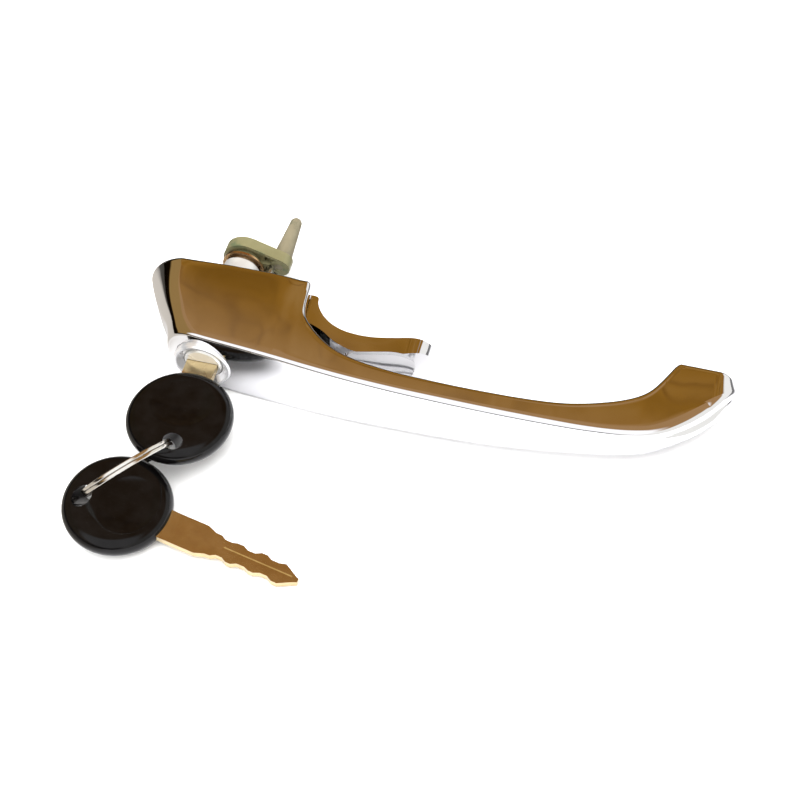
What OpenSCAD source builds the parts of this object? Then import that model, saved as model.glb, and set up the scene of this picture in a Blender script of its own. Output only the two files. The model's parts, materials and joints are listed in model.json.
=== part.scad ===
// Car door pull handle with squeeze trigger, key lock, release arm and a pair of keys.
// X runs along the grip from the lock head to the tip, Y points into the door
// (the door skin is the plane Y = 0) and Z points up. The lock axis is the Y axis.

/* [Handle] */
// Half width of the lock head
head_w = 12; // [11:0.5:13]
// Half width of the tip
tip_w = 5.8; // [5:0.1:6.5]
// Depth of the outer face at the lock axis
head_d = 30; // [29:0.5:31]
// Extra bulge of the outer face at mid grip
grip_bulge = 4.4; // [3:0.1:5]
// Edge radius of the outer face
edge_r = 2; // [1.2:0.1:2.2]
// Edge radius next to the door
seat_r = 1.3; // [0.8:0.1:1.6]
// How far the nose reaches along the door skin
nose_reach = 28; // [26.5:0.5:28.5]
// Crown height of the outer face
crown = 0.7; // [0.2:0.1:1.2]

/* [Lock] */
// Radius of the collar round the lock face
collar_r = 9.1; // [8.8:0.1:9.3]
// Radius of the wide front part of the plug
plug_r = 6; // [5.9:0.05:6.1]
// Radius of the narrow rear part of the plug
core_r = 4.7; // [4.6:0.05:4.8]
// Running clearance of the plug in its housing
run_fit = 0.05; // [0.03:0.01:0.08]
// Outer radius of the housing inside the head
housing_r = 7.6; // [7.4:0.1:7.8]
// Radius of the neck that passes through the door skin
neck_r = 6; // [5.8:0.1:6.1]
// Distance from one wafer to the next
wafer_pitch = 5; // [4.5:0.5:5]

/* [Release arm] */
// Radius of the arm's hub
hub_r = 7.5; // [7.2:0.1:8]
// Distance from the lock axis to the release pin
pin_x = 11; // [10.5:0.5:12]
// Length of the tapered release pin above the arm
pin_len = 18; // [14:0.5:22]
// Radius of the pin at its root
pin_r1 = 3; // [2.6:0.1:3.2]
// Radius of the pin at its tip
pin_r2 = 1.95; // [1.6:0.05:2.2]

/* [Trigger] */
// Half width of the trigger
trig_w = 7.2; // [6.8:0.1:7.3]
// Pivot position along the handle
pivot_x = 22.4; // [22.2:0.1:22.6]
// Pivot position in depth
pivot_y = -8; // [-8.2:0.1:-7.8]
// Radius of the pivot pin
pivot_r = 1.5; // [1.4:0.05:1.6]

/* [Mounting] */
// Radius of the tapped mounting holes
tap_r = 2.1; // [2:0.05:2.15]
// Depth of the tapped mounting holes
tap_len = 11; // [8:0.5:11]
// Position of the head hole
head_hole_x = -17.5; // [-18:0.5:-17]
// Position of the foot hole
foot_hole_x = 149; // [148:0.5:150]

/* [Keys] */
// Radius of a key head
bow_r = 16; // [15:0.5:16]
// Thickness of a key head
bow_t = 7.2; // [6.4:0.2:7.4]
// Radius of the ring hole
ring_hole_r = 2.7; // [2.6:0.1:2.8]
// Distance from the centre of a key head to its hole
hole_off = 9.6; // [9.4:0.1:9.8]
// Thickness of the blade
blade_t = 2.2; // [1.8:0.1:2.3]
// Half width of the blade's shoulder
shoulder_w = 4.8; // [4.4:0.1:4.85]
// Half width of the cut part of the blade
cut_w = 3.6; // [3.2:0.1:3.65]
// Free length of the blade
blade_len = 41.5; // [38:0.5:42]
// Length of the shoulder
shoulder_len = 14; // [12:0.5:14.5]
// Mean radius of the split ring
ring_r = 14; // [14:0.5:14.5]

/* [Hidden] */
$fn = 64;
e = 0.01;

face_y = -head_d - 1.6;
pull_gap = 0.3;
arm_y0 = 12;
arm_y1 = 16;
rod_x = 8.9;
rod_y0 = -10.4;
bow_y = face_y - 4.2 - bow_r;

// Where the spare key lies and how the ring leans through both holes
spare_c = [-9.3, -81.4, -6];
spare_turn = -99.4;
spare_dip = 4.5;
hole_a = [0, bow_y - hole_off, 0];
spare_way = [-sin(spare_turn) * cos(spare_dip), cos(spare_turn) * cos(spare_dip), -sin(spare_dip)];
hole_b = spare_c - hole_off * spare_way;
ring_lean = [-0.14, 0.57, -0.81];
ring_chord = (hole_b - hole_a) / norm(hole_b - hole_a);
ring_drop = ring_lean - (ring_lean * ring_chord) * ring_chord;
ring_c = (hole_a + hole_b) / 2 - 5 * ring_drop / norm(ring_drop);
ring_n_dir = cross(ring_chord, ring_drop) / norm(ring_drop);
way_a = cross(ring_n_dir, hole_a - ring_c);
way_b = cross(ring_n_dir, hole_b - ring_c);

// Outer face line: depth below the door skin against position along the handle
outer_line = [
    [-14, 1 - head_d], [0, -head_d], [24, -head_d - 2], [46, -head_d - 3.9],
    [75, -head_d - grip_bulge], [92, -head_d - 4.1], [108, -head_d - 2.8], [120, -head_d - 1.5],
    [130, -30], [137, -27.5], [146, -21.5], [151, -16.5], [155, -11.5], [158, -7], [160, -3]
];
// Half width line
width_line = [
    [-30, head_w], [20, head_w], [45, head_w - 1], [75, head_w - 2.1], [90, head_w - 2.7],
    [106, 8], [118, 6.9], [128, 6.3], [136, tip_w + 0.1], [152, tip_w], [162, tip_w]
];
// Middle rings: outer position, inner position, inner depth
mid_line = [
    [6, -4, 0], [12, 6, 0], [18, 16, 0], [22.5, 24, 0], [24.5, 26, -1.2], [26, 26.6, -6],
    [27.5, 27.2, -10.5], [29.5, 28.6, -14], [32, 31.4, -17.5], [35, 35, -20.4], [38.5, 38.5, -23],
    [42, 42, -24.5], [46, 46, -25.5], [52, 52, -26.3], [61, 61, -27], [73, 73, -27], [85, 85, -26.8],
    [97, 97, -26], [108, 108, -24.4], [114, 114, -22.8], [120, 120, -20.6], [126, 126, -18.2],
    [131, 131, -15], [134.5, 133.7, -12.4], [138, 136.2, -8.6], [141, 138.6, -4], [143, 140.2, -1],
    [145, 141.6, 0], [149, 147, 0], [152.5, 153, 0]
];
nose_angles = [5, 12, 20, 29, 38, 47, 56, 66, 78, 90];
// Nose outline by depth: foremost position, where it starts to curve, and how square it is
nose_front = [[-30, 12], [-29.3, 12], [-24, 13.6], [-18, 17.9], [-12, 21.7], [-6, 25.2], [0, nose_reach]];
nose_start = [[-30, 0], [-29.3, 0], [-24, 5], [-18, 9], [-12, 11.5], [-6, 11], [0, 10]];
nose_power = [[-30, 2.4], [-29.3, 2.4], [-24, 3], [-18, 3.3], [-12, 3.1], [-6, 2.9], [0, 2.7]];
// Shares of the depth at which the sides get an extra row of points
rows = [0.2, 0.4, 0.6, 0.8];
// Edge radius next to the door, by position
seat_line = [[-30, 2.4], [-12, 2], [0, 1], [14, 1], [23, 2], [27, seat_r + 0.4], [40, seat_r], [162, seat_r]];
tip_angles = [105, 121, 136, 150, 162, 171];

function unit(v) = v / norm(v);
function face_at(x) = lookup(x, outer_line);
function wide_at(x) = lookup(x, width_line);
function tip_x(a) = 152.5 - 7.2 * cos(a);
function nose_at(y, a) =
    let (x0 = lookup(y, nose_start), x1 = lookup(y, nose_front), p = 2 / lookup(y, nose_power))
    [-x0 - (x1 - x0) * pow(cos(a), p), y, head_w * pow(sin(a), p)];
function drop_y(v, y) = [v[0], y, v[2]];

// One ring is outer edge point, inner edge point, heading angle, outer edge radius and its middle points
rings = concat(
    [for (a = nose_angles) let (v = nose_at(-29.3, a), o = drop_y(v, face_at(v[0]))) [
        o, nose_at(0, a), a, edge_r, [for (k = rows) nose_at(o[1] * (1 - k), a)]]],
    [for (m = mid_line) let (o = [m[0], face_at(m[0]), wide_at(m[0])], i = [m[1], m[2], wide_at(m[1])]) [
        o, i, 90, m[0] < 128 ? edge_r : min(3.4, edge_r + (m[0] - 128) * 0.08),
        [for (k = rows) o + k * (i - o)]]],
    [for (a = tip_angles) let (
            o = [tip_x(a), face_at(tip_x(a)), tip_w * sin(a)],
            i = [153 - 4.8 * cos(a), -0.4 * (1 - sin(a)), tip_w * sin(a)]) [
        o, i, a, 3.4, [for (k = rows) o + k * (i - o)]]]
);
ring_n = len(rings);
last_row = len(rows) - 1;

function step_of(i, k) = rings[min(i + 1, ring_n - 1)][k] - rings[max(i - 1, 0)][k];
function side_from(i, way, t) =
    unit(cross(rings[i][2] < 90 ? t : [sin(rings[i][2]), 0, cos(rings[i][2])], way));
function side_out(i) = side_from(i, rings[i][4][0] - rings[i][0], step_of(i, 0));
function side_in(i) = side_from(i, rings[i][1] - rings[i][4][last_row], step_of(i, 1));
function out_dir(i) = let (t = step_of(i, 0)) unit([t[1], -t[0], 0]);
function in_dir(i) = let (t = step_of(i, 1)) unit([-t[1], t[0], 0]);
function arc(p, n, m, r, steps) =
    let (c = p - r / (1 + n * m) * (n + m))
    [for (j = [0:steps]) c + r * unit(n * (1 - j / steps) + m * j / steps)];
function half_ring(i) = concat(
    arc(rings[i][0], out_dir(i), side_out(i), rings[i][3], 3),
    rings[i][4],
    arc(rings[i][1], side_in(i), in_dir(i), lookup(rings[i][1][0], seat_line), 2));
function flip_z(v) = [v[0], v[1], -v[2]];
function full_ring(i) =
    let (h = half_ring(i), n = len(h), mid = [h[0][0], h[0][1], 0] + crown * sin(rings[i][2]) * out_dir(i))
    concat([mid], h, [for (j = [n - 1:-1:0]) flip_z(h[j])]);

// Outline of two discs joined by their outer tangents, used for the arm
function lever_pts(r1, r2, d) = let (b = acos((r1 - r2) / d)) concat(
    [for (i = [0:36]) let (t = b + (360 - 2 * b) * i / 36) [r1 * cos(t), r1 * sin(t)]],
    [for (i = [0:16]) let (t = -b + 2 * b * i / 16) [d + r2 * cos(t), r2 * sin(t)]]);
module lever_2d(r1, r2, d) {
    polygon(lever_pts(r1, r2, d));
}

// Cylinder along Y between two depths
module ycyl(r, y0, y1, r2 = -1) {
    translate([0, y0, 0]) rotate([-90, 0, 0]) cylinder(r1 = r, r2 = r2 < 0 ? r : r2, h = y1 - y0);
}

// Flat outline in X and Z, extruded along Y
module yplate(y0, y1) {
    translate([0, y1, 0]) rotate([90, 0, 0]) linear_extrude(y1 - y0) children();
}

// Flat outline in X and Y, extruded along Z about the middle plane
module zplate(half) {
    translate([0, 0, -half]) linear_extrude(2 * half) children();
}

// Block between two corners
module block(a, b) {
    translate(a) cube(b - a);
}

// Ring of round wire about the Y axis
module wire_ring(r, w, y) {
    translate([0, y, 0]) rotate([-90, 0, 0]) rotate_extrude() translate([r, 0]) circle(w, $fn = 24);
}

// Stack of wire rings that stands for a coil spring along Y
module coil_y(r, w, y0, y1, turns, r_end = -1) {
    re = r_end < 0 ? r : r_end;
    for (k = [0:turns - 1])
        wire_ring(r + (re - r) * k / (turns - 1), w, y0 + w + (y1 - y0 - 2 * w) * k / (turns - 1));
    zplate(w * 0.4) polygon([
        [r - w * 0.4, y0 + w], [r + w * 0.4, y0 + w], [re + w * 0.4, y1 - w], [re - w * 0.4, y1 - w]
    ]);
}

// Solid skin of the grip, nose and foot
module skin() {
    pts = [for (i = [0:ring_n - 1]) each full_ring(i)];
    k = len(full_ring(0));
    q = (ring_n - 1) * k;
    polyhedron(
        points = pts,
        faces = concat(
            [for (i = [0:ring_n - 2], j = [0:k - 1])
                let (a = i * k + j, b = i * k + (j + 1) % k) [a, b, b + k]],
            [for (i = [0:ring_n - 2], j = [0:k - 1])
                let (a = i * k + j, b = i * k + (j + 1) % k) [a, b + k, a + k]],
            // Both ends are closed by a strip between mirrored points
            [[0, k - 1, 1], [q, q + 1, q + k - 1]],
            [for (j = [1:k / 2 - 1]) [j, k - j, k - j - 1]],
            [for (j = [1:k / 2 - 1]) [j, k - j - 1, j + 1]],
            [for (j = [1:k / 2 - 1]) [q + j, q + k - j - 1, q + k - j]],
            [for (j = [1:k / 2 - 1]) [q + j, q + j + 1, q + k - j - 1]]
        ), convexity = 6);
}

// Outline of the space the trigger sweeps inside the head and the grip's root
module trigger_space_2d() {
    polygon([
        [6, 1], [6, -13.5], [14, -17], [30, -17.4], [36, -23.2], [40.5, -25.8],
        [46.5, -27.3], [53, -27.3], [58, -24], [34, -10], [34, 1]
    ]);
}

// Chrome die casting that forms the head, the grip and the foot
module handle_body() {
    color("silver") difference() {
        skin();
        // Cavity behind the lock
        block([-9, -26.4, -9.4], [23.8, 1, 9.4]);
        // Ledge for the back plate
        block([-10.2, -1.7, -10.3], [16.6, 1, 10.3]);
        // Bore for the housing and recess for the collar
        translate([0, -40, 0]) rotate([-90, 0, 0]) cylinder(r = housing_r + 0.05, h = 14);
        translate([0, -40, 0]) rotate([-90, 0, 0]) cylinder(r = collar_r + 0.1, h = 40 + face_y + 3.2);
        // Slot and finger recess for the trigger
        zplate(trig_w + 0.5) trigger_space_2d();
        // Pivot pin hole and housing pin hole
        translate([pivot_x, pivot_y, -head_w - 2]) cylinder(r = pivot_r + 0.01, h = 24.6);
        translate([housing_r - 0.6, -22.5, -head_w - 2]) cylinder(r = 1.01, h = 24.6);
        // Tapped mounting holes
        translate([head_hole_x, 0, 0]) ycyl(tap_r, -tap_len, 1);
        translate([foot_hole_x, 0, 0]) ycyl(tap_r, -tap_len, 1);
    }
}

// Bright collar round the lock face, dished towards the keyway
module lock_collar() {
    color("gainsboro") difference() {
        union() {
            ycyl(collar_r - 0.5, face_y - 0.4, face_y + 0.1, collar_r);
            ycyl(collar_r, face_y + 0.1, face_y + 3.1);
        }
        ycyl(plug_r + 0.25, face_y - 2, face_y + 4);
        ycyl(collar_r - 0.9, face_y - 0.5, face_y + 1.1, plug_r + 0.24);
    }
}

// Zinc housing: wide in the head, necked down where it passes the door skin
module lock_housing() {
    color("darkgray") difference() {
        union() {
            ycyl(housing_r, face_y + 3.2, -13);
            ycyl(neck_r, -13 - e, 8.2);
        }
        ycyl(plug_r + run_fit, face_y + 2, -20.2);
        ycyl(core_r + run_fit, -21, 9);
        // Wafer channels
        for (s = [-1, 1]) block([s * 4.9 - 0.7, -19.6, -1.6], [s * 4.9 + 0.7, 2, 1.6]);
        // Groove for the housing pin
        translate([housing_r - 0.6, -22.5, -20]) cylinder(r = 1.03, h = 40);
    }
}

// Roll pin that locks the housing in the head
module housing_pin() {
    color("dimgray") translate([housing_r - 0.6, -22.5, 0]) difference() {
        translate([0, 0, -10.4]) cylinder(r = 1, h = 20.8, $fn = 32);
        translate([0, 0, -11]) cylinder(r = 0.5, h = 22, $fn = 24);
    }
}

// Zinc plate that closes the back of the head
module back_plate() {
    color("lightslategray") difference() {
        yplate(-1.6, -0.1) polygon([
            [-10, -9], [-8.9, -10.1], [15.3, -10.1], [16.4, -9],
            [16.4, 9], [15.3, 10.1], [-8.9, 10.1], [-10, 9]
        ]);
        ycyl(neck_r + 0.05, -3, 1);
        translate([rod_x, 0, 0]) ycyl(1.36, -3, 1);
        // Room for the trigger's nose behind the plate's edge
        block([12.5, -3, -trig_w - 0.5], [20, 1, trig_w + 0.5]);
    }
}

// Thin hexagon nut that clamps the back plate on the neck
module neck_nut() {
    color("lightgray") difference() {
        translate([0, 2.7, 0]) rotate([90, 30, 0]) cylinder(r = 7.8, h = 2.7, $fn = 6);
        ycyl(neck_r + 0.02, -1, 4);
    }
}

// Turning plug: wide face, narrow core, flatted stub for the arm
module lock_plug() {
    color("whitesmoke") difference() {
        union() {
            ycyl(plug_r - 0.5, face_y + 0.5, face_y + 1, plug_r);
            ycyl(plug_r, face_y + 1, -20.5);
            ycyl(core_r, -20.5 - e, 9.4);
            intersection() {
                ycyl(3, 9.3, 18.8);
                block([-2.2, 9, -4], [2.2, 19, 4]);
            }
        }
        // Keyway: wide for the shoulder, narrow for the cuts
        block([-4.95, face_y - 1, -1.25], [4.95, -21.2, 1.25]);
        block([-3.75, -22, -1.25], [3.75, 6.6, 1.25]);
        // Wafer slots through the core
        for (k = [0:3]) block([-6, -18 + k * wafer_pitch, -2.55], [6, -17 + k * wafer_pitch, 2.55]);
        // Grooves for the two clips
        difference() {
            ycyl(6, 8.4, 9);
            ycyl(4.1, 8, 9.3);
        }
        difference() {
            ycyl(6, 17.6, 18.3);
            ycyl(2.1, 17, 19);
        }
    }
}

// Wafer: thin plate with a window for the blade
module wafer(k) {
    color("goldenrod") translate([0, -17.95 + k * wafer_pitch, 0]) difference() {
        intersection() {
            ycyl(core_r - 0.05, 0, 0.9);
            block([-6, -1, -2.5], [6, 2, 2.5]);
        }
        block([-3.8, -1, -1.3], [3.8, 2, 1.3]);
    }
}
module wafer_1() { wafer(0); }
module wafer_2() { wafer(1); }
module wafer_3() { wafer(2); }
module wafer_4() { wafer(3); }

// Open retaining ring
module clip_y(r1, r2, y0, y1, mouth) {
    difference() {
        ycyl(r2, y0, y1);
        ycyl(r1, y0 - 1, y1 + 1);
        block([-r2 - 1, y0 - 1, -mouth], [0, y1 + 1, mouth]);
    }
}
module plug_clip() {
    color("dimgray") clip_y(4.12, 5.6, 8.45, 8.95, 2.2);
}
module arm_clip() {
    color("dimgray") clip_y(2.12, 4.3, 17.65, 18.25, 1.6);
}

// Copper coloured thrust washer between the neck and the arm
module thrust_washer() {
    color("peru") difference() {
        union() {
            ycyl(6.9, 9.45, 10.1);
            ycyl(5.2, 10.1 - e, 10.9, 4.4);
        }
        intersection() {
            ycyl(3.05, 9, 12);
            block([-2.25, 8, -4], [2.25, 13, 4]);
        }
    }
}

// Cast arm: hub on the plug stub, open ribbed underside, boss for the pin
module release_arm() {
    color("darkkhaki") difference() {
        yplate(arm_y0, arm_y1) lever_2d(hub_r, 3.7, pin_x);
        // Open underside on both sides of the middle rib
        for (s = [-1, 1]) yplate(arm_y0 - 1, arm_y1 - 1.4) polygon([
            [6.2, s * 0.7], [6.2, s * 3.4], [8.2, s * 3], [8.2, s * 0.7]
        ]);
        difference() {
            yplate(arm_y0 - 1, arm_y0 + 1.1) difference() {
                lever_2d(hub_r - 1.2, 2.6, pin_x);
                circle(4.6);
                translate([pin_x, 0]) circle(2.9);
            }
            block([4, 10, -0.7], [10, 20, 0.7]);
        }
        // Well for the return spring
        ycyl(5.3, arm_y0 + 1.4, arm_y1 + 1);
        // Flatted hole for the plug stub
        intersection() {
            ycyl(3.06, 10, 20);
            block([-2.26, 9, -4], [2.26, 20, 4]);
        }
        // Hole for the pin's spigot
        translate([pin_x, 0, 0]) ycyl(1.6, 10, 20);
    }
}

// Tapered pin that works the latch inside the door
module release_pin() {
    color("tan") translate([pin_x, 0, 0]) {
        ycyl(1.58, arm_y0 + 0.3, arm_y1 + e);
        ycyl(3.5, arm_y1, arm_y1 + 0.8, pin_r1);
        ycyl(pin_r1, arm_y1 + 0.8 - e, arm_y1 + pin_len - pin_r2, pin_r2);
        translate([0, arm_y1 + pin_len - pin_r2, 0]) sphere(pin_r2);
    }
}

// Conical spring that returns the arm
module arm_spring() {
    color("silver") coil_y(4.8, 0.35, arm_y0 + 1.45, 17.6, 4, 3.6);
}

// Trigger: paddle behind the grip, pivot eye and inner lever for the push rod
module trigger() {
    px = pivot_x;
    py = pivot_y;
    color("silver") difference() {
        union() {
            intersection() {
                zplate(trig_w) polygon([
                    [px - 3, -2.6], [29.4, -2.3], [29.7, -4.8], [31.8, -8.4], [35.3, -11.6],
                    [38.8, -13.2], [42.2, -13.9], [48.5, -13.9], [54.4, -12.8], [60, -11.4], [67.4, -9.8],
                    [67.8, -13.4], [65.7, -14.8], [61.8, -17.3], [56, -19.2], [50.2, -20.6], [44, -20.4],
                    [38.6, -18.6], [33, -14.6], [27, -12.4], [px, -12.6], [px - 3, -11.4]
                ]);
                // Half round end of the paddle
                union() {
                    block([10, -30, -10], [60.6, 5, 10]);
                    translate([60.6, 0, 0]) ycyl(trig_w, -30, 5);
                }
            }
            translate([px, py, -trig_w]) cylinder(r = 4.6, h = 2 * trig_w);
            zplate(3) polygon([
                [px, -12.4], [px, -4], [14.6, -7.2], [11, -10.8], [7, -10.8], [7, -12.5], [13, -12.5]
            ]);
        }
        // Scooped grip side
        translate([55, -32.5, 0]) rotate([0, 0, 14]) rotate([0, 90, 0])
            cylinder(r = 15.6, h = 60, center = true, $fn = 96);
        // Pivot bore and pocket for the spring
        translate([px, py, -10]) cylinder(r = pivot_r + run_fit, h = 20);
        translate([px, py, 3.4]) cylinder(r = 3.4, h = 5);
    }
}

// Pivot pin of the trigger, pressed into the head
module trigger_pin() {
    color("dimgray") translate([pivot_x, pivot_y, -10.4]) cylinder(r = pivot_r, h = 20.8);
}

// Torsion spring round the pivot pin
module trigger_spring() {
    color("slategray") translate([pivot_x, pivot_y, 0]) {
        for (k = [0:2]) translate([0, 0, 3.95 + k * 0.75])
            rotate_extrude() translate([2.35, 0]) circle(0.38, $fn = 24);
        translate([2.35 - 0.15, -0.15, 3.95]) cube([0.3, 0.3, 1.5]);
    }
}

// Rod that carries the trigger's travel to the arm
module push_rod() {
    color("lightgray") translate([rod_x, 0, 0]) difference() {
        union() {
            ycyl(0.7, rod_y0, rod_y0 + 0.5, 1.3);
            ycyl(1.3, rod_y0 + 0.5 - e, arm_y0 - pull_gap);
            ycyl(2.3, rod_y0 + 0.6, rod_y0 + 1.5);
        }
        difference() {
            ycyl(3, rod_y0 + 1.9, rod_y0 + 2.3);
            ycyl(1, rod_y0 + 1, rod_y0 + 3);
        }
    }
}

// Return spring of the push rod
module rod_spring() {
    color("silver") translate([rod_x, 0, 0]) coil_y(1.75, 0.25, rod_y0 + 2.45, -1.7, 7);
}

// Small clip that holds the spring on the rod
module rod_clip() {
    color("dimgray") translate([rod_x, 0, 0]) clip_y(1.02, 2.2, rod_y0 + 1.92, rod_y0 + 2.28, 0.8);
}

// Double sided blade: shoulder at y = 0, tip at y = blade_len, bow side below zero
module blade_shape() {
    s = shoulder_len;
    l = blade_len;
    c = cut_w;
    difference() {
        translate([0, 0, -blade_t / 2]) linear_extrude(blade_t) polygon([
            [-shoulder_w, -5], [shoulder_w, -5], [shoulder_w, s - 3], [c + 0.1, s], [c, s + 1.6],
            [c - 0.9, s + 3], [c - 0.9, s + 5], [c - 0.1, s + 6.4], [c - 0.1, s + 8], [c - 1, s + 9.6],
            [c - 1, s + 12], [c - 0.4, s + 13.4], [c - 0.4, s + 15], [c - 1.2, s + 16.8],
            [c - 1.2, s + 19], [c - 0.3, s + 20.6], [c - 0.3, s + 22.4], [1, l - 1], [0.6, l],
            [-0.6, l], [-1, l - 1], [-c + 0.3, s + 22.4], [-c + 0.9, s + 20.4], [-c + 0.9, s + 18],
            [-c + 0.1, s + 16.4], [-c + 0.1, s + 14.6], [-c + 1.1, s + 12.8], [-c + 1.1, s + 10.6],
            [-c + 0.3, s + 9], [-c + 0.3, s + 7], [-c + 0.8, s + 5.6], [-c + 0.8, s + 3.4], [-c, s + 2],
            [-c - 0.1, s], [-shoulder_w, s - 3]
        ]);
        // Milled grooves on both flats
        for (z = [-1, 1]) translate([0, (s + l) / 2 + 1, z * blade_t / 2])
            cube([1.3, l - s - 6, 0.8], center = true);
    }
}

// Round moulded head with a thumb dish on both faces
module bow_shape() {
    h = bow_t / 2;
    difference() {
        rotate_extrude($fn = 96) {
            square([bow_r - h, bow_t]);
            translate([bow_r - h, h]) circle(h);
        }
        // Thumb dishes
        for (z = [-36, bow_t + 36]) translate([0, 3.6, z]) sphere(37.1, $fn = 96);
        // Slot that the blade is moulded into
        block([-shoulder_w - 0.02, bow_r - 4.5, h - blade_t / 2 - 0.02],
            [shoulder_w + 0.02, bow_r + 1, h + blade_t / 2 + 0.02]);
    }
}

// Turns the Z axis to a direction
module aim(v) {
    rotate([0, acos(v[2] / norm(v)), atan2(v[1], v[0])]) children();
}

module key_blade() {
    color("burlywood") translate([0, bow_y + bow_r, 0]) intersection() {
        blade_shape();
        block([-10, -4.4, -5], [10, 60, 5]);
    }
}
module key_bow() {
    color([0.06, 0.06, 0.06]) difference() {
        translate([0, bow_y, -bow_t / 2]) bow_shape();
        translate(hole_a) aim(way_a) cylinder(r = ring_hole_r, h = 30, center = true);
    }
}

// Two coils of flat wire
module split_ring() {
    color("lightgray") translate(ring_c) aim(ring_n_dir) rotate_extrude($fn = 96) {
        translate([ring_r - 0.6, -1.1]) square([1.2, 1.05]);
        translate([ring_r - 0.6, 0.05]) square([1.2, 1.05]);
        translate([ring_r - 0.35, -0.1]) square([0.7, 0.2]);
    }
}

// The spare key hangs from the ring with its tip on the resting surface
module spare_place() {
    translate(spare_c) rotate([0, 0, spare_turn]) rotate([-spare_dip, 0, 0]) children();
}
module spare_blade() {
    color("burlywood") spare_place() translate([0, bow_r, 0]) intersection() {
        blade_shape();
        block([-10, -4.4, -5], [10, 60, 5]);
    }
}
module spare_bow() {
    color([0.06, 0.06, 0.06]) difference() {
        spare_place() translate([0, 0, -bow_t / 2]) bow_shape();
        translate(hole_b) aim(way_b) {
            cylinder(r = ring_hole_r, h = 30, center = true);
            // Flared mouth on the underside, where the ring curves away
            translate([0, 0, 3.2]) cylinder(r1 = ring_hole_r, r2 = ring_hole_r + 4, h = 9);
        }
    }
}

handle_body();
lock_collar();
lock_housing();
housing_pin();
back_plate();
neck_nut();
lock_plug();
wafer_1();
wafer_2();
wafer_3();
wafer_4();
plug_clip();
thrust_washer();
release_arm();
release_pin();
arm_spring();
arm_clip();
trigger();
trigger_pin();
trigger_spring();
push_rod();
rod_spring();
rod_clip();
key_blade();
key_bow();
split_ring();
spare_blade();
spare_bow();
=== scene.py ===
import json
import math
import bpy
import bmesh
import numpy as np
from mathutils import Matrix, Vector


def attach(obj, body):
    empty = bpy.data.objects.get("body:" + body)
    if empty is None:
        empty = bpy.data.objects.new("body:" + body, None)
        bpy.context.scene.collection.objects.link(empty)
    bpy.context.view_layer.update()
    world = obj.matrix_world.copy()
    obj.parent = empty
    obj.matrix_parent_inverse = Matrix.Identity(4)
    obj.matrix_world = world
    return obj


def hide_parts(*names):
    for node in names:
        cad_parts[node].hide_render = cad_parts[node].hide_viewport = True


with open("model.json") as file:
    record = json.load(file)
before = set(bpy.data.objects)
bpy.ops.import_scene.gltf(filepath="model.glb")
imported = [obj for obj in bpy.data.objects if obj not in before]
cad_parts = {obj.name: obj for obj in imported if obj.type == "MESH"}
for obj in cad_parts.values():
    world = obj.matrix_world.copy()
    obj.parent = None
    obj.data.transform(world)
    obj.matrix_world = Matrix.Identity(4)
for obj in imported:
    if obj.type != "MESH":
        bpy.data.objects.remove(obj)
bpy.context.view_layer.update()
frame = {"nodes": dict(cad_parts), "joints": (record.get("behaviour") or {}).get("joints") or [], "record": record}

MM = 0.001
nodes = frame["nodes"]
scene = bpy.context.scene
joints = {j["name"]: j for j in frame["joints"]}


# ---------------------------------------------------------------- camera
def make_camera():
    data = bpy.data.cameras.new("view_camera")
    data.lens, data.sensor_width = 60.12, 36.0
    data.clip_start, data.clip_end = 0.01, 20
    cam = bpy.data.objects.new("view_camera", data)
    scene.collection.objects.link(cam)
    fwd = Vector((-0.1412, 0.5706, -0.8090)).normalized()
    right = Vector((0.9707, 0.2402, 0.0)).normalized()
    up = right.cross(fwd).normalized()
    m = Matrix((right, up, -fwd)).transposed().to_4x4()
    m.translation = Vector((118.23, -257.95, 323.6)) * MM
    cam.matrix_world = m
    scene.camera = cam


make_camera()


# ---------------------------------------------------------------- node helpers
class Tree:
    """Short hand for building a material or world node tree."""

    def __init__(self, owner):
        owner.use_nodes = True
        self.t = owner.node_tree
        self.t.nodes.clear()

    def n(self, kind, props=None, **inputs):
        node = self.t.nodes.new(kind)
        for k, v in (props or {}).items():
            setattr(node, k, v)
        for k, v in inputs.items():
            key = int(k[1:]) if k[0] == "i" and k[1:].isdigit() else k.replace("_", " ")
            if isinstance(v, bpy.types.NodeSocket):
                self.t.links.new(v, node.inputs[key])
            else:
                node.inputs[key].default_value = v
        return node

    def math(self, op, a, b=0.0, clamp=False):
        node = self.n("ShaderNodeMath", {"operation": op, "use_clamp": clamp}, i0=a, i1=b)
        return node.outputs[0]

    def ramp(self, fac, stops, interp="LINEAR"):
        node = self.n("ShaderNodeValToRGB", None, Fac=fac)
        cr = node.color_ramp
        cr.interpolation = interp
        while len(cr.elements) < len(stops):
            cr.elements.new(0.5)
        for e, (p, c) in zip(cr.elements, stops):
            e.position = p
            e.color = (*c, 1.0) if len(c) == 3 else c
        return node.outputs["Color"]

    def noise(self, scale, detail=3.0, rough=0.5, vec=None, distortion=0.0):
        node = self.n("ShaderNodeTexNoise", None, Scale=scale, Detail=detail, Roughness=rough,
                      Distortion=distortion)
        if vec is not None:
            self.t.links.new(vec, node.inputs["Vector"])
        return node.outputs["Fac"]

    def mix(self, fac, a, b, blend="MIX"):
        props = {"data_type": "RGBA", "blend_type": blend}
        return self.n("ShaderNodeMix", props, i0=fac, i6=a, i7=b).outputs[2]


def coords(t, scale=(1, 1, 1)):
    c = t.n("ShaderNodeTexCoord")
    m = t.n("ShaderNodeMapping", None, Vector=c.outputs["Object"], Scale=scale)
    return m.outputs["Vector"]


def grey(v):
    return (v, v, v)


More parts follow.
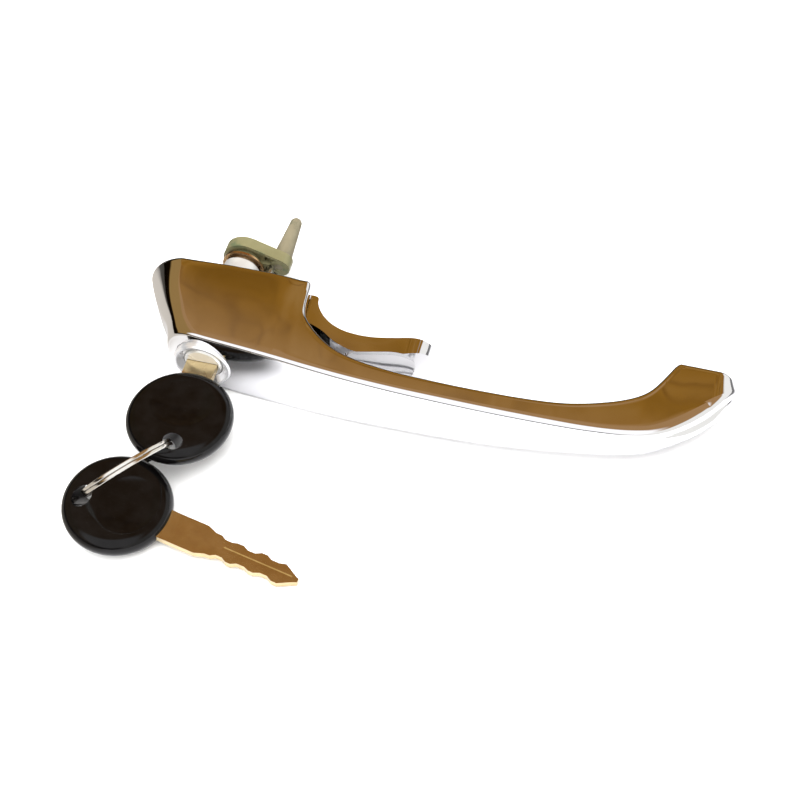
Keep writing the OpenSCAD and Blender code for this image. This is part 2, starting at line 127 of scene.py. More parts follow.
def finish_material(t, bsdf, height=None, strength=0.1, distance=0.0002):
    if height is not None:
        b = t.n("ShaderNodeBump", None, Height=height, Strength=strength, Distance=distance)
        t.t.links.new(b.outputs["Normal"], bsdf.inputs["Normal"])
    out = t.n("ShaderNodeOutputMaterial")
    t.t.links.new(bsdf.outputs[0], out.inputs["Surface"])


def metal(name, lo, hi, r_lo, r_hi, tint_scale=300, stretch=(1, 1, 1), bump=0.05, bump_scale=900,
          spots=None, metallic=1.0):
    """Metal with a mottled tint, a wandering roughness and a fine surface relief."""
    mat = bpy.data.materials.new(name)
    t = Tree(mat)
    v = coords(t, stretch)
    n1 = t.noise(tint_scale, 4, 0.6, v)
    n2 = t.noise(tint_scale * 0.23, 3, 0.5, v)
    base = t.ramp(t.math("MULTIPLY", t.math("ADD", n1, n2), 0.5), [(0.3, lo), (0.7, hi)])
    if spots:
        s = t.ramp(t.noise(spots[1], 5, 0.65, v), [(spots[2], grey(0)), (spots[2] + 0.09, grey(1))])
        base = t.mix(s, base, (*spots[0], 1))
    rough = t.ramp(n2, [(0.3, grey(r_lo)), (0.75, grey(r_hi))])
    b = t.n("ShaderNodeBsdfPrincipled", None, Base_Color=base, Metallic=metallic, Roughness=rough)
    finish_material(t, b, t.noise(bump_scale, 3, 0.6, v), bump, 0.0001)
    return mat


def chrome(name, tint=(0.88, 0.88, 0.89)):
    """Mirror plating with faint polishing haze, handling smears and a very slow ripple."""
    mat = bpy.data.materials.new(name)
    t = Tree(mat)
    v = coords(t)
    smear = t.noise(55, 4, 0.62, coords(t, (0.5, 1.4, 1)), 0.4)
    fine = t.noise(1500, 2, 0.5, v)
    rough = t.ramp(smear, [(0.35, grey(0.018)), (0.62, grey(0.045)), (0.8, grey(0.10))])
    lo = tuple(c * 0.965 for c in tint)
    base = t.ramp(t.noise(120, 3, 0.55, v), [(0.3, lo), (0.65, tint)])
    b = t.n("ShaderNodeBsdfPrincipled", None, Base_Color=base, Metallic=1.0, Roughness=rough)
    slow = t.n("ShaderNodeMath", {"operation": "MULTIPLY_ADD"}, i0=fine, i1=0.02, i2=t.noise(38, 1, 0.3, v))
    finish_material(t, b, slow.outputs[0], 0.02, 0.0006)
    return mat


def plastic(name, col, r_lo, r_hi, coat=0.4):
    mat = bpy.data.materials.new(name)
    t = Tree(mat)
    v = coords(t)
    cloud = t.noise(160, 4, 0.6, v)
    hi = tuple(c * 1.7 + 0.002 for c in col)
    base = t.ramp(cloud, [(0.35, col), (0.75, hi)])
    scuff = t.ramp(t.noise(420, 6, 0.75, coords(t, (1, 3, 1)), 1.5), [(0.52, grey(0)), (0.7, grey(1))])
    rough = t.ramp(scuff, [(0.0, grey(r_lo)), (1.0, grey(r_hi))])
    b = t.n("ShaderNodeBsdfPrincipled", None, Base_Color=base, Roughness=rough)
    b.inputs["Coat Weight"].default_value = coat
    b.inputs["Coat Roughness"].default_value = 0.04
    b.inputs["Specular IOR Level"].default_value = 0.2
    b.inputs["IOR"].default_value = 1.49
    finish_material(t, b, t.noise(700, 3, 0.6, v), 0.06, 0.0002)
    return mat


mats = {
    "chrome": chrome("chrome_plate"),
    "chrome_trim": metal("chrome_collar", (0.84, 0.84, 0.86), (0.93, 0.93, 0.94), 0.12, 0.24, 300,
                         metallic=0.7),
    "zinc": metal("cast_zinc", (0.55, 0.55, 0.54), (0.74, 0.74, 0.72), 0.34, 0.55, 220,
                  bump=0.25, bump_scale=700, metallic=0.5),
    "steel_dark": metal("oiled_steel", (0.16, 0.16, 0.17), (0.32, 0.31, 0.3), 0.22, 0.42, 500),
    "steel_bright": metal("bright_zinc_steel", (0.6, 0.61, 0.63), (0.75, 0.75, 0.74), 0.16, 0.34, 400,
                          (1, 8, 1)),
    "plug_nickel": metal("turned_nickel", (0.78, 0.77, 0.73), (0.9, 0.89, 0.86), 0.2, 0.36, 600, (1, 5, 1),
                         metallic=0.6),
    "brass": metal("stamped_brass", (0.62, 0.44, 0.16), (0.8, 0.62, 0.3), 0.18, 0.36, 500),
    "copper": metal("copper_washer", (0.62, 0.36, 0.16), (0.82, 0.56, 0.3), 0.14, 0.32, 400),
    "passivated": metal("passivated_zinc", (0.18, 0.17, 0.08), (0.27, 0.25, 0.135), 0.28, 0.46, 180, bump=0.2,
                        bump_scale=600, spots=((0.15, 0.17, 0.09), 140, 0.56), metallic=0.3),
    "pin_zinc": metal("passivated_pin", (0.2, 0.175, 0.11), (0.3, 0.265, 0.18), 0.38, 0.58, 200,
                      (1, 0.6, 1), bump=0.2, bump_scale=800, spots=((0.16, 0.155, 0.1), 160, 0.58),
                      metallic=0.25),
    "spring_steel": metal("spring_wire", (0.5, 0.5, 0.52), (0.72, 0.72, 0.72), 0.15, 0.3, 700),
    "key_nickel": metal("key_nickel_silver", (0.6, 0.45, 0.22), (0.8, 0.66, 0.4), 0.16, 0.34, 260, (1, 1, 1),
                        bump=0.12, bump_scale=1400),
    "black_plastic": plastic("black_moulding", (0.0012, 0.001, 0.001), 0.07, 0.2, 0.12),
    "ring_steel": metal("ring_wire", (0.72, 0.70, 0.64), (0.86, 0.83, 0.78), 0.10, 0.24, 500),
}


def dress(obj, slot):
    obj.data.materials.clear()
    obj.data.materials.append(mats[slot])


def smooth(obj, angle=35):
    me = obj.data
    me.polygons.foreach_set("use_smooth", [True] * len(me.polygons))
    me.set_sharp_from_angle(angle=math.radians(angle))
    me.update()


# ---------------------------------------------------------------- mesh helpers
def mesh_object(name, verts, faces):
    me = bpy.data.meshes.new(name)
    me.from_pydata([tuple(float(c) * MM for c in v) for v in verts], [], faces)
    bm = bmesh.new()
    bm.from_mesh(me)
    bmesh.ops.remove_doubles(bm, verts=bm.verts, dist=2e-6)
    bmesh.ops.dissolve_degenerate(bm, edges=bm.edges, dist=1e-6)
    bmesh.ops.recalc_face_normals(bm, faces=bm.faces)
    bm.to_mesh(me)
    bm.free()
    obj = bpy.data.objects.new(name, me)
    scene.collection.objects.link(obj)
    return obj


def cut(obj, tools, op="DIFFERENCE"):
    """Boolean with throwaway tool objects, applied at once."""
    for t in tools:
        m = obj.modifiers.new("cut", "BOOLEAN")
        m.operation, m.solver, m.object = op, "EXACT", t
        apply_modifiers(obj)
        bpy.data.objects.remove(t)


def apply_modifiers(obj):
    dg = bpy.context.evaluated_depsgraph_get()
    new = bpy.data.meshes.new_from_object(obj.evaluated_get(dg))
    old = obj.data
    obj.modifiers.clear()
    obj.data = new
    new.name = obj.name
    bpy.data.meshes.remove(old)


def add_bevel(obj, width, segments=3, angle=32):
    m = obj.modifiers.new("edge", "BEVEL")
    m.width, m.segments, m.limit_method = width * MM, segments, "ANGLE"
    m.angle_limit = math.radians(angle)
    m.harden_normals = False
    m.use_clamp_overlap = True
    return m


def weighted(obj):
    m = obj.modifiers.new("normals", "WEIGHTED_NORMAL")
    m.keep_sharp = True
    m.weight = 80


def tool_lathe(profile, axis_pt, axis="y", segments=96):
    """Solid of revolution for cutting: profile is (radius, along) pairs, closed on the axis."""
    verts, faces = [], []
    n = len(profile)
    for i in range(segments):
        a = 2 * math.pi * i / segments
        for r, h in profile:
            c, s = r * math.cos(a), r * math.sin(a)
            p = {"y": (c, h, s), "z": (c, s, h), "x": (h, c, s)}[axis]
            verts.append([p[k] + axis_pt[k] for k in range(3)])
    for i in range(segments):
        j = (i + 1) % segments
        for k in range(n - 1):
            faces.append((i * n + k, i * n + k + 1, j * n + k + 1, j * n + k))
    return mesh_object("tool", verts, faces)


def cylinder_tool(r, y0, y1, at=(0, 0, 0), axis="y"):
    return tool_lathe([(0, y0), (r, y0), (r, y1), (0, y1)], at, axis)


def box_tool(lo, hi):
    v = [(x, y, z) for x in (lo[0], hi[0]) for y in (lo[1], hi[1]) for z in (lo[2], hi[2])]
    f = [(0, 1, 3, 2), (4, 6, 7, 5), (0, 4, 5, 1), (2, 3, 7, 6), (0, 2, 6, 4), (1, 5, 7, 3)]
    return mesh_object("tool", v, f)


def prism_tool(pts, z0, z1):
    n = len(pts)
    v = [(x, y, z) for z in (z0, z1) for x, y in pts]
    f = [tuple(range(n))[::-1], tuple(range(n, 2 * n))]
    f += [(i, (i + 1) % n, n + (i + 1) % n, n + i) for i in range(n)]
    return mesh_object("tool", v, f)


def spline(points, per=12):
    """Centripetal Catmull-Rom through points, as an array of rows of any width."""
    p = np.array(points, float)
    p = np.vstack([2 * p[0] - p[1], p, 2 * p[-1] - p[-2]])
    out = []
    for i in range(1, len(p) - 2):
        a, b, c, d = p[i - 1], p[i], p[i + 1], p[i + 2]
        ta = 0.0
        tb = ta + max(np.linalg.norm(b - a), 1e-9) ** 0.5
        tc = tb + max(np.linalg.norm(c - b), 1e-9) ** 0.5
        td = tc + max(np.linalg.norm(d - c), 1e-9) ** 0.5
        for k in range(per):
            t = tb + (tc - tb) * k / per
            a1 = (tb - t) / (tb - ta) * a + (t - ta) / (tb - ta) * b
            a2 = (tc - t) / (tc - tb) * b + (t - tb) / (tc - tb) * c
            a3 = (td - t) / (td - tc) * c + (t - tc) / (td - tc) * d
            b1 = (tc - t) / (tc - ta) * a1 + (t - ta) / (tc - ta) * a2
            b2 = (td - t) / (td - tb) * a2 + (t - tb) / (td - tb) * a3
            out.append((tc - t) / (tc - tb) * b1 + (t - tb) / (tc - tb) * b2)
    out.append(p[-2])
    return np.array(out)


def unit(v):
    v = np.asarray(v, float)
    n = np.linalg.norm(v, axis=-1, keepdims=True)
    return v / np.maximum(n, 1e-12)


def tube(name, path, profile, frame_n):
    """Sweeps a cross section of (side, out) points along path; frame_n is the out direction at each point."""
    path = np.asarray(path, float)
    tan = unit(np.gradient(path, axis=0))
    n = len(profile)
    verts = []
    for p, t, o in zip(path, tan, frame_n):
        o = unit(o - t * np.dot(o, t))
        s = np.cross(t, o)
        verts += [p + s * a + o * b for a, b in profile]
    faces = []
    m = len(path)
    for i in range(m - 1):
        for k in range(n):
            a, b = i * n + k, i * n + (k + 1) % n
            faces.append((a, b, b + n, a + n))
    faces.append(tuple(range(n))[::-1])
    faces.append(tuple(range((m - 1) * n, m * n)))
    return mesh_object(name, verts, faces)


# ---------------------------------------------------------------- handle body
HEAD_W, TIP_W = 12.0, 5.8
outer_pts = [(-16, -28.2), (-12, -28.8), (0, -30), (12, -31.1), (24, -32.2), (35, -33.2), (46, -33.9),
             (60, -34.3), (75, -34.4), (90, -34.1), (106, -33.1), (118, -31.9), (129, -30.2),
             (136, -28.2), (141, -25.6),
             (145.5, -22.2), (150, -17.9), (154, -13.1), (157, -9), (159, -5.8), (160.3, -3.2)]
width_pts = [(-30, 12), (0, 12), (20, 12), (33, 11.6), (45, 11.1), (60, 10.4), (75, 9.9), (90, 9.2), (106, 8),
             (118, 6.95), (128, 6.3), (136, 5.95), (146, 5.8), (162, 5.8)]
outer_s = spline(outer_pts, 24)
width_s = spline(width_pts, 24)


def face_at(x):
    return float(np.interp(x, outer_s[:, 0], outer_s[:, 1]))


def wide_at(x):
    return float(np.interp(x, width_s[:, 0], width_s[:, 1]))


# outer x, inner x, inner y
mid_pts = [(0, -13, 0), (6, -4, 0), (12, 6, 0), (18, 16, 0), (21.5, 22.5, 0), (23.2, 25.2, 0),
           (24.2, 26.15, -0.7),
           (25, 26.5, -2.4), (26, 26.7, -6), (27.3, 27.3, -10.4), (29.4, 28.7, -14), (32, 31.4, -17.2),
           (35, 34.8, -20.2), (38.6, 38.6, -22.8), (42, 42, -24.3), (46, 46, -25.4), (52, 52, -26.3),
           (61, 61, -26.95), (73, 73, -27.1), (85, 85, -26.8), (97, 97, -25.95), (108, 108, -24.4),
           (114, 114, -22.8), (120, 120, -20.65), (126, 126, -18), (131, 131, -14.9), (134.5, 133.8, -12.2),
           (138, 136.2, -8.5), (140.6, 138.6, -4), (142, 140.0, -1.4), (143.2, 141.2, -0.15), (145, 142.8, 0),
           (149, 148, 0), (152.5, 153, 0)]


def edge_radius(x):
    at = [-14, 0, 23, 50, 75, 100, 121, 135, 150, 160]
    return float(np.interp(x, at, [1.2, 1.3, 1.5, 1.8, 2.1, 2.1, 1.9, 2.2, 3.4, 3.4]))


def seat_radius(x):
    at = [-28, -12, 0, 14, 23, 27, 40, 130, 140, 160]
    return float(np.interp(x, at, [2.4, 2, 1, 1, 2, 1.7, 1.3, 1.3, 1.2, 1.4]))


# nose outline by depth: depth, foremost position, where it starts to curve, squareness
nose_rows = np.array([(-30, 12, 0, 2.4), (-29.3, 12, 0, 2.4), (-24, 13.6, 5, 2.8), (-18, 17.9, 8.5, 2.4),
                      (-12, 21.7, 12, 2.0), (-6, 25.2, 14, 1.75), (0, 28, 15, 1.65)])
nose_s = spline(nose_rows, 12)


def nose_at(y, a):
    x1, x0, p = (float(np.interp(y, nose_s[:, 0], nose_s[:, k])) for k in (1, 2, 3))
    a = math.radians(a)
    return np.array([-x0 - (x1 - x0) * max(0.0, math.cos(a)) ** (2 / p), y, HEAD_W * math.sin(a) ** (2 / p)])


SIDE = 14  # rows of faces on the side of the skin


def build_rings():
    """Each ring: heading, then its side line from the outer edge to the inner edge."""
    rings = []
    share = np.linspace(0, 1, SIDE + 1)
    for a in np.degrees(np.linspace(0.02, 1, 52)[:-1] ** 1.15 * math.pi / 2):
        o = nose_at(-29.3, a)
        y0 = face_at(o[0])
        line = [nose_at(y0 * (1 - k), a) for k in share]
        line[0] = np.array([o[0], y0, o[2]])
        rings.append((a, line))
    mid = spline(mid_pts, 8)
    for xo, xi, yi in mid[:-1]:
        o = np.array([xo, face_at(xo), wide_at(xo)])
        i = np.array([xi, min(yi, 0.0), wide_at(xi)])
        rings.append((90.0, [o + (i - o) * k for k in share]))
    for a in np.linspace(90, 177.5, 40):
        c, s = -math.cos(math.radians(a)), math.sin(math.radians(a))
        o = np.array([152.5 + 7.3 * c, face_at(152.5 + 7.3 * c), TIP_W * s])
        i = np.array([153 + 5.0 * c, -0.4 * (1 - s), TIP_W * s])
        rings.append((a, [o + (i - o) * k for k in share]))
    return rings


def arc_pts(p, n, m, r, steps):
    k = r / (1 + float(np.dot(n, m)))
    c = p - k * (n + m)
    w = math.acos(max(-1, min(1, float(np.dot(n, m)))))
    out = []
    for j in range(steps + 1):
        t = j / steps
        if w < 1e-4:
            d = n
        else:
            d = (math.sin((1 - t) * w) * n + math.sin(t * w) * m) / math.sin(w)
        out.append(c + r * d)
    return out


def skin():
    rings = build_rings()
    az = [r[0] for r in rings]
    lines = np.array([r[1] for r in rings])
    step = np.gradient(lines, axis=0)
    loops = []
    for i, a in enumerate(az):
        ra = math.radians(a)
        line = lines[i]
        b = line[-1] - line[0]
        if a < 90:
            n_o = unit(np.cross(step[i][0], line[1] - line[0]))
            n_i = unit(np.cross(step[i][-1], line[-1] - line[-2]))
        else:
            n_o = n_i = unit(np.cross([math.sin(ra), 0, math.cos(ra)], b))
        to, ti = step[i][0], step[i][-1]
        mo = unit(np.array([to[1], -to[0], 0]))
        mi = unit(np.array([-ti[1], ti[0], 0]))
        span = np.linalg.norm(b)
        ro = min(edge_radius(line[0][0]), 0.45 * span)
        ri = min(seat_radius(line[-1][0]), 0.4 * span)
        top = arc_pts(line[0], mo, n_o, ro, 8)
        bot = arc_pts(line[-1], n_i, mi, ri, 8)
        # rows evenly spaced between the two fillets
        run = np.concatenate([[0.0], np.cumsum(np.linalg.norm(np.diff(line, axis=0), axis=1))])
        t0 = np.linalg.norm(top[-1] - line[0])
        t1 = run[-1] - np.linalg.norm(bot[0] - line[-1])
        rows = np.linspace(t0, t1, SIDE + 1)[1:-1]
        side = list(np.column_stack([np.interp(rows, run, line[:, k]) for k in range(3)]))
        q = top[0]
        crown = 0.75 * math.sin(ra)
        if line[0][0] > 135:
            crown *= 1 + 1.1 * min(1, (line[0][0] - 135) / 12)
        cap = [np.array([q[0], q[1], q[2] * k / 9]) + crown * (1 - (k / 9) ** 2) * mo for k in range(9)]
        q = bot[-1]
        inner = [np.array([q[0], q[1], q[2] * (1 - k / 4)]) for k in range(1, 5)]
        half = cap + top + side + bot + inner
        flip = np.array([1, 1, -1])
        loops.append(half + [h * flip for h in half[1:-1][::-1]])
    k = len(loops[0])
    verts = [p for l in loops for p in l]
    faces = []
    for i in range(len(loops) - 1):
        for j in range(k):
            a, b = i * k + j, i * k + (j + 1) % k
            faces.append((a, b, b + k, a + k))
    for q in (0, (len(loops) - 1) * k):
        for j in range(1, k // 2 - 1):
            faces.append((q + j, q + j + 1, q + k - j - 1, q + k - j))
        faces += [(q, q + 1, q + k - 1), (q + k // 2 - 1, q + k // 2, q + k // 2 + 1)]
    return mesh_object("handle_skin", verts, faces)


recess = [(6, 1), (6, -13.5), (14, -17), (30, -17.4), (36, -23.2), (40.5, -25.8), (46.5, -27.3), (53, -27.3),
          (58, -24), (34, -10), (34, 1)]


def make_handle():
    body = skin()
    cut(body, [
        box_tool((-9, -26.4, -9.4), (23.8, 3, 9.4)),
        box_tool((-10.2, -1.7, -10.3), (16.6, 3, 10.3)),
        cylinder_tool(7.65, -42, -26),
        cylinder_tool(9.22, -42, -28.4),
        prism_tool(recess, -7.7, 7.7),
        cylinder_tool(1.51, -16, 10.6, (22.4, -8, 0), "z"),
        cylinder_tool(1.01, -16, 10.6, (7.0, -22.5, 0), "z"),
        cylinder_tool(2.1, -11, 2, (-17.5, 0, 0)),
        cylinder_tool(2.1, -11, 2, (149, 0, 0)),
    ])
    smooth(body, 32)
    weighted(body)
    dress(body, "chrome")
    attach(body, "handle")
    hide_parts("handle_body")
    return body


make_handle()


# ---------------------------------------------------------------- trigger
def make_trigger():
    px, py, w = 22.4, -8.0, 7.2
    top = spline([(19.4, -2.7), (24, -2.45), (28.2, -2.35), (29.2, -2.9), (29.6, -4.9), (31.3, -7.9),
                  (34.6, -11.1), (38.8, -13.15), (43, -13.95), (48.5, -13.95), (54.4, -12.9),
                  (60, -11.5), (67.4, -9.8)], 8)
    low = spline([(67.8, -13.6), (65.7, -14.8), (61.8, -17.1), (56, -19.3), (50.2, -20.5), (44, -20.3),
                  (38.6, -18.4), (33, -14.8), (27, -12.7), (22.4, -12.6), (19.4, -11.4)], 8)
    outline = [tuple(p) for p in top] + [tuple(p) for p in low]
    body = prism_tool(outline, -w, w)
    body.name = "trigger_skin"
    # rounded plan of the paddle
    arc = [(60.2 + 7.6 * math.cos(t), w * math.sin(t)) for t in np.linspace(-math.pi / 2, math.pi / 2, 41)]
    xz = [(8, -w), *arc, (8, w)]
    n = len(xz)
    v = [(x, y, z) for y in (-30, 5) for x, z in xz]
    f = [tuple(range(n)), tuple(range(n, 2 * n))[::-1]]
    f += [(i, n + i, n + (i + 1) % n, (i + 1) % n) for i in range(n)]
    cut(body, [mesh_object("tool", v, f)], "INTERSECT")
    lever = prism_tool([(px, -12.4), (px, -4), (14.6, -7.2), (11, -10.8), (7, -10.8), (7, -12.5),
                        (13, -12.5)], -3, 3)
    hub = cylinder_tool(4.6, -w, w, (px, py, 0), "z")
    cut(body, [hub, lever], "UNION")
    # scooped grip side: a long shallow bowl
    rings = []
    for x in np.linspace(-32, 16, 33):
        close = math.sqrt(max(0.0, 1 - (max(0, x - 4) / 10.5) ** 2)) if x > 4 else 1.0
        rings.append((x, 15.6, close))
    ca, sa = math.cos(math.radians(14)), math.sin(math.radians(14))
    verts, faces = [], []
    seg = 64
    for x, r, close in rings:
        for k in range(seg):
            a = 2 * math.pi * k / seg
            ly, lz = r * math.cos(a) - (1 - close) * 3.2, r * math.sin(a) * (0.55 + 0.45 * close)
            verts.append((53.5 + x * ca - ly * sa, -32.9 + x * sa + ly * ca, lz))
    for i in range(len(rings) - 1):
        for k in range(seg):
            a, b = i * seg + k, i * seg + (k + 1) % seg
            faces.append((a, b, b + seg, a + seg))
    faces.append(tuple(range(seg))[::-1])
    faces.append(tuple(range((len(rings) - 1) * seg, len(rings) * seg)))
    cut(body, [mesh_object("tool", verts, faces),
               cylinder_tool(1.55, -10, 10, (px, py, 0), "z"),
               cylinder_tool(3.4, 3.4, 9, (px, py, 0), "z")])
    add_bevel(body, 0.5, 3, 40)
    apply_modifiers(body)
    smooth(body, 34)
    weighted(body)
    dress(body, "chrome")
    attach(body, "trigger_lever")
    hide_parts("trigger")


make_trigger()


# ---------------------------------------------------------------- keys
BOW_R, BOW_T = 16.0, 7.2


def hinge(name):
    j = joints[name]
    return np.array(j["pos_m"]) / MM, unit(j["axis"])


def make_bow(name, body, node, place, hole, way, mouth=False):
    """Round head turned on a lathe, with a broad thumb dish on both faces and a slanted ring hole."""
    h = BOW_T / 2
    prof = []
    for r in np.linspace(0, BOW_R - h, 26):
        prof.append((r, h))
    for a in np.linspace(90, 0, 15)[1:]:
        prof.append((BOW_R - h + h * math.cos(math.radians(a)), h * math.sin(math.radians(a))))
    seg = 128
    verts, faces = [], []
    n = len(prof)
    for side in (1, -1):
        for i in range(seg):
            a = 2 * math.pi * i / seg
            for r, z in prof:
                x, y = r * math.cos(a), r * math.sin(a)
                # dish: crisp rim ellipse about a centre nearer the blade
                d = math.hypot(x / 9.6, (y - 3.6) / 8.6)
                t = max(0.0, 1 - d * d)
                dish = 1.15 * t ** 0.8 if t > 0 else 0.0
                verts.append((x, y, side * (z - dish)))
    for s in (0, 1):
        o = s * seg * n
        for i in range(seg):
            j = (i + 1) % seg
            for k in range(n - 1):
                q = (o + i * n + k, o + i * n + k + 1, o + j * n + k + 1, o + j * n + k)
                faces.append(q if s == 0 else q[::-1])
    obj = mesh_object(name, verts, faces)
    obj.data.transform(place)
    seg = 48
    verts, faces = [], []
    a = unit(np.cross(way, [0.3, 0.2, 0.9]))
    b = np.cross(way, a)
    for s in (-15, 15):
        for k in range(seg):
            t = 2 * math.pi * k / seg
            verts.append(hole + way * s + 2.7 * (math.cos(t) * a + math.sin(t) * b))
    faces = [(k, (k + 1) % seg, seg + (k + 1) % seg, seg + k) for k in range(seg)]
    faces += [tuple(range(seg))[::-1], tuple(range(seg, 2 * seg))]
    cut(obj, [mesh_object("tool", verts, faces)])
    if mouth:
        ends = [(3.2, 2.7), (12.2, 6.7)]
        verts = [hole + way * s + r * (math.cos(w) * a + math.sin(w) * b)
                 for s, r in ends for w in np.linspace(0, 2 * math.pi, seg + 1)[:-1]]
        cut(obj, [mesh_object("tool", verts, faces)])
    slot = box_tool((-4.82, 11.5, -1.12), (4.82, 18, 1.12))
    slot.data.transform(place)
    cut(obj, [slot])
    add_bevel(obj, 0.35, 3, 38)
    apply_modifiers(obj)
    smooth(obj, 35)
    weighted(obj)
    dress(obj, "black_plastic")
    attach(obj, body)
    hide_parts(node)


ha, way_a = hinge("ring_swing")
hb, way_b = hinge("spare_swing")
bow1 = Matrix.Translation(Vector((0, -51.8, 0)) * MM)
dip, turn = math.radians(4.5), math.radians(-99.4)
bow2 = (Matrix.Translation(Vector((-9.3, -81.4, -6)) * MM) @ Matrix.Rotation(turn, 4, "Z")
        @ Matrix.Rotation(-dip, 4, "X"))
make_bow("bow_in_lock", "key", "key_bow", bow1, ha, way_a)
make_bow("bow_spare", "spare_key", "spare_bow", bow2, hb, way_b, True)


# ---------------------------------------------------------------- split ring
def make_ring():
    chord = unit(hb - ha)
    lean = np.array([-0.14, 0.57, -0.81])
    drop = lean - np.dot(lean, chord) * chord
    centre = (ha + hb) / 2 - 5 * unit(drop)
    axis = unit(np.cross(chord, drop))
    u = unit(chord)
    v = np.cross(axis, u)
    prof = []
    for sx, sy in ((1, 1), (-1, 1), (-1, -1), (1, -1)):
        for a in np.linspace(0, 90, 5):
            ang = math.radians(a + {(1, 1): 0, (-1, 1): 90, (-1, -1): 180, (1, -1): 270}[(sx, sy)])
            prof.append((sx * 0.27 + 0.24 * math.cos(ang), sy * 0.33 + 0.24 * math.sin(ang)))
    path, out = [], []
    turns, start = 2.0, math.radians(118)
    coil_half = 0.56
    for k in range(401):
        t = k / 400
        a = start + 2 * math.pi * turns * t
        # two flat coils with one short crossing
        cross = min(1.0, max(0.0, (t - 0.44) / 0.12))
        lift = -coil_half + 2 * coil_half * (0.5 - 0.5 * math.cos(math.pi * cross))
        radial = math.cos(a) * u + math.sin(a) * v
        path.append(centre + 14.0 * radial + lift * axis)
        out.append(radial)
    ring = tube("split_ring_wire", path, prof, out)
    smooth(ring, 40)
    dress(ring, "ring_steel")
    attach(ring, "ring")
    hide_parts("split_ring")


make_ring()


# ---------------------------------------------------------------- springs
def coil(name, node, body, at, r0, r1, wire, y0, y1, turns, axis="y"):
    path, out = [], []
    steps = int(turns * 40)
    for k in range(steps + 1):
        t = k / steps
        a = 2 * math.pi * turns * t
        # closed end turns
        s = min(1, max(0, (t * turns - 0.8) / (turns - 1.6)))
        h = y0 + wire + (y1 - y0 - 2 * wire) * (0.06 * t + 0.94 * s)
        r = r0 + (r1 - r0) * t
        ca, sa = math.cos(a), math.sin(a)
        c = np.array([ca, 0, sa] if axis == "y" else [ca, sa, 0])
        d = np.array([0, 1.0, 0] if axis == "y" else [0, 0, 1.0])
        path.append(np.array(at, float) + r * c + h * d)
        out.append(c)
    prof = [(wire * math.cos(a), wire * math.sin(a)) for a in np.linspace(0, 2 * math.pi, 13)[:-1]]
    obj = tube(name, path, prof, out)
    smooth(obj, 50)
    dress(obj, "spring_steel")
    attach(obj, body)
    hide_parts(node)


coil("arm_coil", "arm_spring", "arm", (0, 0, 0), 4.8, 3.6, 0.35, 13.45, 17.6, 4)
coil("rod_coil", "rod_spring", "rod", (8.9, 0, 0), 1.75, 1.75, 0.25, -7.95, -1.7, 8)
coil("trigger_coil", "trigger_spring", "handle", (22.4, -8, 0), 2.35, 2.35, 0.36, 3.55, 5.85, 3, "z")


# ---------------------------------------------------------------- carried over CAD nodes
slots = {s["node"]: s["material_slot"] for s in frame["record"]["subparts"]}
edges = {"lock_collar": 0.25, "lock_plug": 0.12, "lock_housing": 0.2, "release_arm": 0.3, "release_pin": 0.2,
         "neck_nut": 0.3, "thrust_washer": 0.15, "back_plate": 0.2, "key_blade": 0.12, "spare_blade": 0.12,
         "push_rod": 0.12, "arm_clip": 0.08, "plug_clip": 0.08}
for name, obj in nodes.items():
    dress(obj, slots[name])
    smooth(obj, 30)
    if name in edges:
        add_bevel(obj, edges[name], 2, 35)
        weighted(obj)


# ---------------------------------------------------------------- stage
def make_stage():
    me = bpy.data.meshes.new("floor")
    s, z = 3.0, -0.0121
    me.from_pydata([(-s, -s, z), (s, -s, z), (s, s, z), (-s, s, z)], [], [(0, 1, 2, 3)])
    floor = bpy.data.objects.new("floor", me)
    scene.collection.objects.link(floor)
    mat = bpy.data.materials.new("pale_paper_with_painted_reflection_shade")
    t = Tree(mat)
    n = t.noise(600, 3, 0.6, coords(t))
    base = t.ramp(n, [(0.3, (0.93, 0.93, 0.93)), (0.7, (0.96, 0.96, 0.955))])
    # Painted shade, seen only in reflections: for glossy rays the floor is darker towards -X and darker still
    # behind (+Y).
    sep = t.n("ShaderNodeSeparateXYZ", None, Vector=coords(t))
    left = t.ramp(t.math("ADD", sep.outputs["X"], 0.5, True),
                  [(0.0, (0.2, 0.185, 0.165)), (0.468, (0.27, 0.25, 0.225)), (0.492, (0.7, 0.7, 0.72))])
    painted_shade_behind = t.ramp(t.math("ADD", sep.outputs["Y"], 0.5, True), [(0.512, grey(1)), (0.54, grey(0.12))])
    side = t.mix(1.0, left, painted_shade_behind, "MULTIPLY")
    lp = t.n("ShaderNodeLightPath")
    # Glossy rays get the painted shade tone; camera and diffuse rays see the pale paper.
    floor_tone_with_painted_shade = t.mix(lp.outputs["Is Glossy Ray"], base, side)
    b = t.n("ShaderNodeBsdfPrincipled", None, Base_Color=floor_tone_with_painted_shade, Roughness=0.85)
    b.inputs["Specular IOR Level"].default_value = 0.1
    finish_material(t, b, n, 0.05, 0.0002)
    me.materials.append(mat)

    def area(name, loc, size, power, target=(0.06, -0.02, 0)):
        d = bpy.data.lights.new(name, "AREA")
        d.shape, d.size, d.energy = "DISK", size, power
        o = bpy.data.objects.new(name, d)
        o.location = loc
        o.rotation_euler = (Vector(target) - Vector(loc)).to_track_quat("-Z", "Y").to_euler()
        o.visible_glossy = False
        scene.collection.objects.link(o)

    area("soft_top", (0.1, -0.1, 1.2), 1.2, 26)
    area("soft_front", (-0.3, -0.9, 0.8), 0.8, 9)


make_stage()


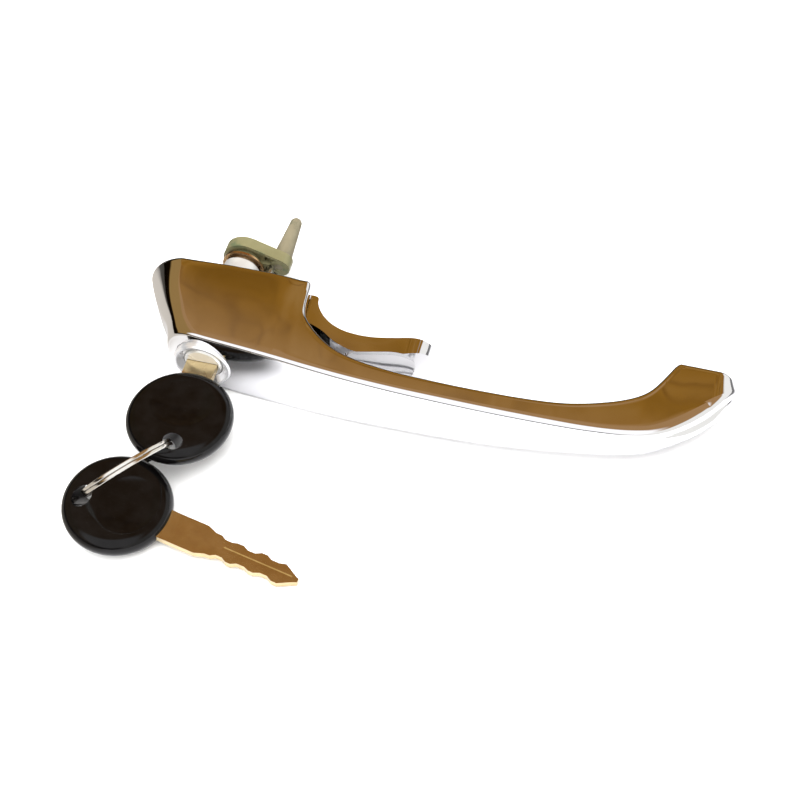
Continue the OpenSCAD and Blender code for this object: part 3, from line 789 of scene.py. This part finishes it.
def make_world():
    """What the plating sees: white wall right, soft light in front, brown room behind, dark low left."""
    world = bpy.data.worlds.new("studio")
    scene.world = world
    t = Tree(world)
    d = t.n("ShaderNodeTexCoord").outputs["Generated"]
    sep = t.n("ShaderNodeSeparateXYZ", None, Vector=d)
    along, up = sep.outputs["X"], sep.outputs["Z"]
    dot = t.n("ShaderNodeVectorMath", {"operation": "DOT_PRODUCT"}, i0=d,
              i1=tuple(unit([0.05, -0.62, 0.78]))).outputs["Value"]
    soft = t.ramp(dot, [(0.70, grey(0)), (0.86, grey(1))], "EASE")
    brown = t.ramp(t.noise(9, 5, 0.6, d, 0.8), [(0.3, (0.17, 0.075, 0.008)), (0.5, (0.27, 0.125, 0.016)),
                                               (0.72, (0.36, 0.2, 0.06))])
    veins = t.ramp(t.noise(6.5, 2, 0.5, d, 1.2),
                   [(0.485, grey(1)), (0.5, (0.62, 0.56, 0.5)), (0.515, grey(1))])
    brown = t.mix(1.0, brown, veins, "MULTIPLY")
    near = t.ramp(sep.outputs["Y"], [(0.55, grey(0.75)), (0.6, grey(0))])
    brown = t.mix(near, brown, (0.42, 0.25, 0.12, 1))
    left = t.ramp(t.math("MULTIPLY", along, -1.0), [(0.44, grey(0)), (0.5, grey(1))])
    room = t.mix(left, brown, (0.31, 0.19, 0.065, 1))
    low = t.ramp(up, [(0.0, (0.006, 0.005, 0.005)), (0.24, (0.02, 0.015, 0.01)), (0.31, (1, 1, 1))])
    room = t.mix(1.0, room, low, "MULTIPLY")
    wall = t.math("MULTIPLY", t.ramp(along, [(0.30, grey(0)), (0.46, grey(1))]),
                  t.ramp(up, [(0.54, grey(1)), (0.62, grey(0))]))
    env = t.mix(wall, room, (0.96, 0.95, 0.92, 1))
    env = t.mix(soft, env, (1.2, 1.2, 1.23, 1))
    lp = t.n("ShaderNodeLightPath")
    refl = t.n("ShaderNodeBackground", None, Color=env, Strength=1.0)
    fill = t.n("ShaderNodeBackground", None, Color=(1, 0.985, 0.96, 1), Strength=0.75)
    back = t.n("ShaderNodeBackground", None, Color=(1, 1, 1, 1), Strength=1.0)
    m1 = t.n("ShaderNodeMixShader", None, i0=lp.outputs["Is Glossy Ray"],
              i1=fill.outputs[0], i2=refl.outputs[0])
    m2 = t.n("ShaderNodeMixShader", None, i0=lp.outputs["Is Camera Ray"],
              i1=m1.outputs[0], i2=back.outputs[0])
    t.t.links.new(m2.outputs[0], t.n("ShaderNodeOutputWorld").inputs["Surface"])


make_world()
scene.view_settings.view_transform = "Standard"
scene.view_settings.look = "None"
